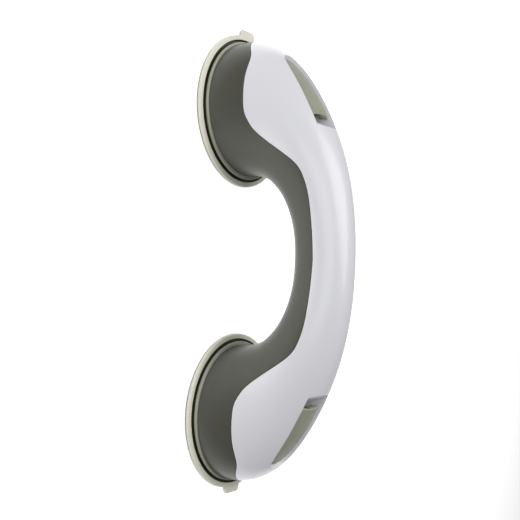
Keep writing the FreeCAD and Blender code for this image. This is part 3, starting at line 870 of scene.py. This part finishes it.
# Radius of the pocket for the stud's head.
HEAD_POCKET = 4.5
CHEEK_INNER = 3.4
CHEEK_OUTER = 8.0
CHEEK_ROLL = 0.35
# The cam's reach falls by the ratio for every radian that the lever turns.
CAM_RADIUS = 9.0
CAM_RATIO = 1.79
CAM_ANGLES = np.radians(np.linspace(-10.0, 85.0, 20))
CAM_EASE = 0.2
PIN_BORE = 2.02
# Corners of a cheek's back about the pivot: (x, z, radius).
CHEEK_BACK = [(6.6, 6.0, 0.8), (2.0, 4.5, 0.0), (-13.0, -4.6, 0.6), (-12.0, -7.4, 0.6)]


def underside(points, normals, distance):
    """Lower face of the lever's blade under given points of its top, with the pocket for the stud's head."""
    slope_normal = np.array([-math.sin(SLOPE), 0.0, math.cos(SLOPE)])
    facing = np.maximum(normals @ slope_normal, LEAST_FACING)
    lean = (UNDER_ROLL - np.clip(distance, 0.0, UNDER_ROLL)) / UNDER_ROLL
    lift = UNDER_ROLL * (1.0 - np.sqrt(1.0 - lean ** 2))
    low = points - slope_normal * ((LEVER_DEPTH - LEVER_DROP) / facing - lift)[:, None]
    along, across, depth = slope_axes(low, -1)
    near_end = np.clip((along - LEVER_END + UNDERCUT_START) / UNDERCUT_START, 0.0, 1.0)
    along = along - UNDERCUT * near_end ** 2
    pocket = np.sqrt(np.maximum(HEAD_POCKET ** 2 - along ** 2, 0.0))
    depth = np.where(np.abs(across) < CHEEK_INNER, np.maximum(depth, pocket), depth)
    return from_slope(along, across, depth, -1)


def cam_outline():
    """Outline of a cheek around the pivot, anticlockwise: the cam, then its back under the blade."""
    corners = []
    for angle in CAM_ANGLES:
        reach = CAM_RADIUS - CAM_RATIO * angle
        x = reach * math.sin(angle) - CAM_RATIO * math.cos(angle)
        z = -reach * math.cos(angle) - CAM_RATIO * math.sin(angle)
        corners.append((x, z, CAM_EASE))
    corners += CHEEK_BACK
    return rounded([corners[-1]] + corners + [corners[0]], steps=3)[1:-1]


def cheek_point(u, v, across):
    """Point of a cheek from its outline about the pivot and its place across the slot."""
    return u - CUP_X, -across, v + PIVOT_Z


def lever(side, sign):
    """Curved blade in the slot, with two cam cheeks that the pin passes through."""
    form = Form(LEVER_DROP)
    patch = Patch(form, BLADE_TURNS, BLADE_SPANS, [inside_lever(-1)])
    builder, points, normals = start_skin(patch, LEVER_ROLL)
    flat, facing = form.points(patch.params), form.normals(patch.params)
    below = underside(flat, facing, patch.values[0])
    add_rim_wall(builder, patch, 0, points, normals, lambda top, used: below[used], rows=3)
    builder.add(below, -facing, [face[::-1] for face in patch.faces])
    outline = cam_outline()
    for low, high in ((CHEEK_INNER, CHEEK_OUTER), (-CHEEK_OUTER, -CHEEK_INNER)):
        add_plate(builder, outline, low, high, CHEEK_ROLL, cheek_point, PIN_BORE)
    piece = builder.make("lever_blade_" + side, lever_plastic, sign)
    place_body(piece, "lever_%s_swing" % side, "lever_" + side)


# ---------------------------------------------------------------- suction disc
# Turned profiles as corners: (radius from the cup's axis, height, radius of the corner).
DISC_RIM = [
    (36.0, 0.0, 0), (49.0, 0.0, 0.4), (49.5, 0.8, 0.5), (49.5, 2.3, 0.6), (48.6, 3.0, 0.8),
    (46.3, 3.0, 0.4), (45.9, 0.9, 0.2), (43.6, 0.9, 0.2), (43.4, 3.5, 0.2), (34.0, 3.5, 0),
]
DISC_DOME = [(0.0, 3.2, 0), (17.0, 3.2, 6.0), (36.0, 0.0, 0)]
DISC_HUB = [
    (34.0, 3.5, 0), (33.0, 3.5, 0.8), (17.5, 5.9, 0.8), (15.5, 7.4, 0.5), (12.95, 7.4, 0.1),
    (12.95, 5.4, 0.1), (0.0, 5.4, 0),
]
# Name, profile, and the heights between which each skin goes from still to moving with the stud.
DISC_SKINS = (("disc_dome_", DISC_DOME, 0.0, 3.2), ("disc_hub_", DISC_HUB, 3.5, 5.9))
# The skins of the dome and the hub are divided into short runs.
LONGEST_RUN = 2.0
RIM_TURNS = 160
DISC_TURNS = 120
TAB = [(46.6, -8.4, 0.2), (53.2, -6.8, 2.6), (53.2, 6.8, 2.6), (46.6, 8.4, 0.2)]
TAB_LOW, TAB_HIGH = 0.85, 2.85
TAB_ROLL = 0.7


def dense(line, longest):
    """The same line with long runs divided."""
    out = [line[0]]
    for a, b in zip(line[:-1], line[1:]):
        parts = max(1, int(math.ceil(np.hypot(*(b - a)) / longest)))
        out += [a + (b - a) * (k + 1) / parts for k in range(parts)]
    return np.array(out)


def suction_disc(side, sign):
    """Rubber disc in three skins: the rim rides on the housing, and the dome and the hub stay where they are
    drawn.
    """
    node = "suction_disc_" + side
    rim = Builder()
    add_lathe(rim, rounded(DISC_RIM), RIM_TURNS)
    tab = rounded([TAB[-1]] + TAB + [TAB[0]], steps=6)[1:-1]
    add_plate(rim, tab, TAB_LOW, TAB_HIGH, TAB_ROLL, lambda u, v, height: (-u - CUP_X, -v, height))
    place_body(rim.make("disc_rim_" + side, disc_rubber, sign), "housing", node)
    for name, corners, start, end in DISC_SKINS:
        builder = Builder()
        add_lathe(builder, dense(rounded(corners), LONGEST_RUN), DISC_TURNS)
        piece = builder.make(name + side, disc_rubber, sign)
        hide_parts(node)
        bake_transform(piece)


# ---------------------------------------------------------------- base plate and spring
PLATE = [
    (44.6, 4.2, 0), (44.6, 5.0, 0.45), (38.0, 5.0, 0.2), (38.0, 6.8, 0.4), (35.5, 6.8, 0.4),
    (34.2, 12.0, 0.8), (10.5, 12.0, 1.2), (9.0, 38.7, 0.5), (4.05, 38.7, 0.2), (4.05, 28.0, 0.2),
    (7.6, 28.0, 0.3), (7.6, 9.0, 0.4), (32.0, 9.0, 0.6), (33.5, 3.5, 0.3), (44.6, 3.5, 0.4), (44.6, 4.2, 0),
]


def base_plate(side, sign):
    """Turned plate whose pale lip shows between the bell and the rubber."""
    builder = Builder()
    add_lathe(builder, rounded(PLATE), RIM_TURNS)
    piece = builder.make("plate_" + side, plate_plastic, sign)
    place_body(piece, "housing", "base_plate_" + side)


# Radius of the wire and of the coil, and the heights of the coil's ends.
WIRE = 0.6
COIL = 5.6
COIL_LOW, COIL_HIGH = 8.05, 27.35
COIL_TURNS = 6.0
COIL_STEPS = 240
WIRE_SIDES = 12


def return_spring(side, sign):
    """Coil between the insert and its seat, drawn at one length; the real spring shortens as the stud rises.
    """
    builder = Builder()
    along = np.linspace(0.0, 1.0, COIL_STEPS + 1)
    turn = along * COIL_TURNS * 2.0 * math.pi
    height = COIL_LOW + (COIL_HIGH - COIL_LOW) * along
    centre = np.stack([COIL * np.cos(turn) - CUP_X, COIL * np.sin(turn), height], axis=1)
    out = np.stack([np.cos(turn), np.sin(turn), np.zeros(len(turn))], axis=1)
    run = np.gradient(centre, axis=0)
    run /= np.linalg.norm(run, axis=1)[:, None]
    up = np.cross(run, out)
    angles = np.linspace(0.0, 2.0 * math.pi, WIRE_SIDES, endpoint=False)
    normals = np.stack([out * math.cos(angle) + up * math.sin(angle) for angle in angles])
    points = centre[None] + normals * WIRE
    starts = [k * (COIL_STEPS + 1) for k in range(WIRE_SIDES)]
    faces = []
    for here, after in zip(starts, starts[1:] + starts[:1]):
        faces += [[here + i, here + i + 1, after + i + 1, after + i] for i in range(COIL_STEPS)]
    faces.append(starts)
    faces.append([start + COIL_STEPS for start in starts][::-1])
    builder.add(points.reshape(-1, 3), normals.reshape(-1, 3), faces)
    piece = builder.make("spring_" + side, spring_steel, sign)
    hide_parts("return_spring_" + side)
    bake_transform(piece)


# ---------------------------------------------------------------- small inner pieces
KEPT = (("disc_insert", insert_plastic), ("pull_stud", steel), ("wear_washer", washer_plastic),
        ("lever_pin", steel), ("base_screws", steel))
# Points closer than this are joined, and edges sharper than the angle are broken, in metres and degrees.
WELD_DISTANCE = 0.00001
EDGE_BREAK = 0.00018
EDGE_ANGLE = 40.0


def finish_kept(side):
    """Gives the pieces that keep their exact shape a material and softly broken edges."""
    for name, material in KEPT:
        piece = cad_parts["%s_%s" % (name, side)]
        piece.data.materials.clear()
        piece.data.materials.append(material)
        weld = piece.modifiers.new("weld", "WELD")
        weld.merge_threshold = WELD_DISTANCE
        bevel = piece.modifiers.new("edges", "BEVEL")
        bevel.width = EDGE_BREAK
        bevel.segments = 2
        bevel.limit_method = "ANGLE"
        bevel.angle_limit = math.radians(EDGE_ANGLE)
        bevel.harden_normals = True


# ---------------------------------------------------------------- floor, light and camera
# The white sheet: half its width in metres, its colour and its dull surface.
SHEET = 6.0
SHEET_WHITE = (0.94, 0.94, 0.94, 1.0)
SHEET_ROUGHNESS = 0.9
SHEET_SHINE = 0.1
# The sheet's painted glow, bright round the bar to wash out its shadows and dim far from it, and the
# distances between which it falls, in metres.
FLOOR_GLOW, FAR_GLOW = 0.74, 0.1
GLOW_FALL = (0.25, 0.9)
SKY = (0.97, 0.98, 1.0, 1.0)
SKY_STRENGTH = 0.20
# Name, place, the point it is aimed at, width and power of each light, in metres and watts.
LIGHTS = (
    ("key", (-0.40, 0.20, 1.10), (0.0, 0.0, 0.04), 0.9, 9.5),
    ("fill", (-0.15, -0.80, 0.75), (0.0, 0.0, 0.02), 0.7, 3.2),
)
# The camera's place and its right, up and backward directions, in metres, and its lens in millimetres.
CAMERA_PLACE = (0.0188, -0.4896, 0.3424)
CAMERA_AXES = ((-0.0347, 0.5508, 0.8339), (-0.9989, -0.0461, -0.0112), (0.0323, -0.8334, 0.5518))
SENSOR_WIDTH = 36.0
FOCAL_LENGTH = 63.14
NEAREST_SEEN = 0.01


def pale_floor():
    """Wide white sheet that the cups stand on, with a painted glow that washes out the bar's shadows near
    it.
    """
    mesh = bpy.data.meshes.new("floor")
    corners = [(-SHEET, -SHEET, 0.0), (SHEET, -SHEET, 0.0), (SHEET, SHEET, 0.0), (-SHEET, SHEET, 0.0)]
    mesh.from_pydata(corners, [], [(0, 1, 2, 3)])
    floor = bpy.data.objects.new("floor", mesh)
    bpy.context.scene.collection.objects.link(floor)
    material = bpy.data.materials.new("white_sheet")
    material.use_nodes = True
    tree = material.node_tree
    shader = tree.nodes["Principled BSDF"]
    shader.inputs["Base Color"].default_value = SHEET_WHITE
    shader.inputs["Roughness"].default_value = SHEET_ROUGHNESS
    shader.inputs["Specular IOR Level"].default_value = SHEET_SHINE
    shader.inputs["Emission Color"].default_value = (1.0, 1.0, 1.0, 1.0)
    place = new_node(tree, "ShaderNodeTexCoord").outputs["Object"]
    away = new_node(tree, "ShaderNodeVectorMath", {0: place}, operation="LENGTH").outputs["Value"]
    # Painted light: the sheet glows most round the bar, which hides its shadows there.
    glow = spread(tree, away, FLOOR_GLOW, FAR_GLOW, *GLOW_FALL)
    tree.links.new(glow, shader.inputs["Emission Strength"])
    mesh.materials.append(material)


def soft_light(name, place, towards, size, power):
    """Square white area light aimed at a point."""
    data = bpy.data.lights.new(name, "AREA")
    data.shape = "SQUARE"
    data.size = size
    data.energy = power
    light = bpy.data.objects.new(name, data)
    light.location = place
    aim = Vector(towards) - Vector(place)
    light.rotation_mode = "QUATERNION"
    light.rotation_quaternion = aim.to_track_quat("-Z", "Y")
    bpy.context.scene.collection.objects.link(light)


def studio():
    """Even white surroundings with one large soft light and a weaker fill."""
    world = bpy.data.worlds.new("studio")
    bpy.context.scene.world = world
    world.use_nodes = True
    background = world.node_tree.nodes["Background"]
    background.inputs["Color"].default_value = SKY
    background.inputs["Strength"].default_value = SKY_STRENGTH
    for light in LIGHTS:
        soft_light(*light)
    bpy.context.scene.view_settings.view_transform = "Standard"


def camera():
    """Looks down on the bar from its side, with the left head up."""
    data = bpy.data.cameras.new("camera")
    data.sensor_width = SENSOR_WIDTH
    data.lens = FOCAL_LENGTH
    data.clip_start = NEAREST_SEEN
    made = bpy.data.objects.new("camera", data)
    columns = (*CAMERA_AXES, CAMERA_PLACE)
    rows = [[column[k] for column in columns] for k in range(3)]
    made.matrix_world = Matrix(rows + [(0, 0, 0, 1)])
    bpy.context.scene.collection.objects.link(made)
    bpy.context.scene.camera = made


# ---------------------------------------------------------------- the whole scene
camera()
studio()
pale_floor()
top_cover()
lower_body()
for side_name, side_sign in SIDES:
    lever(side_name, side_sign)
    suction_disc(side_name, side_sign)
    base_plate(side_name, side_sign)
    return_spring(side_name, side_sign)
    finish_kept(side_name)
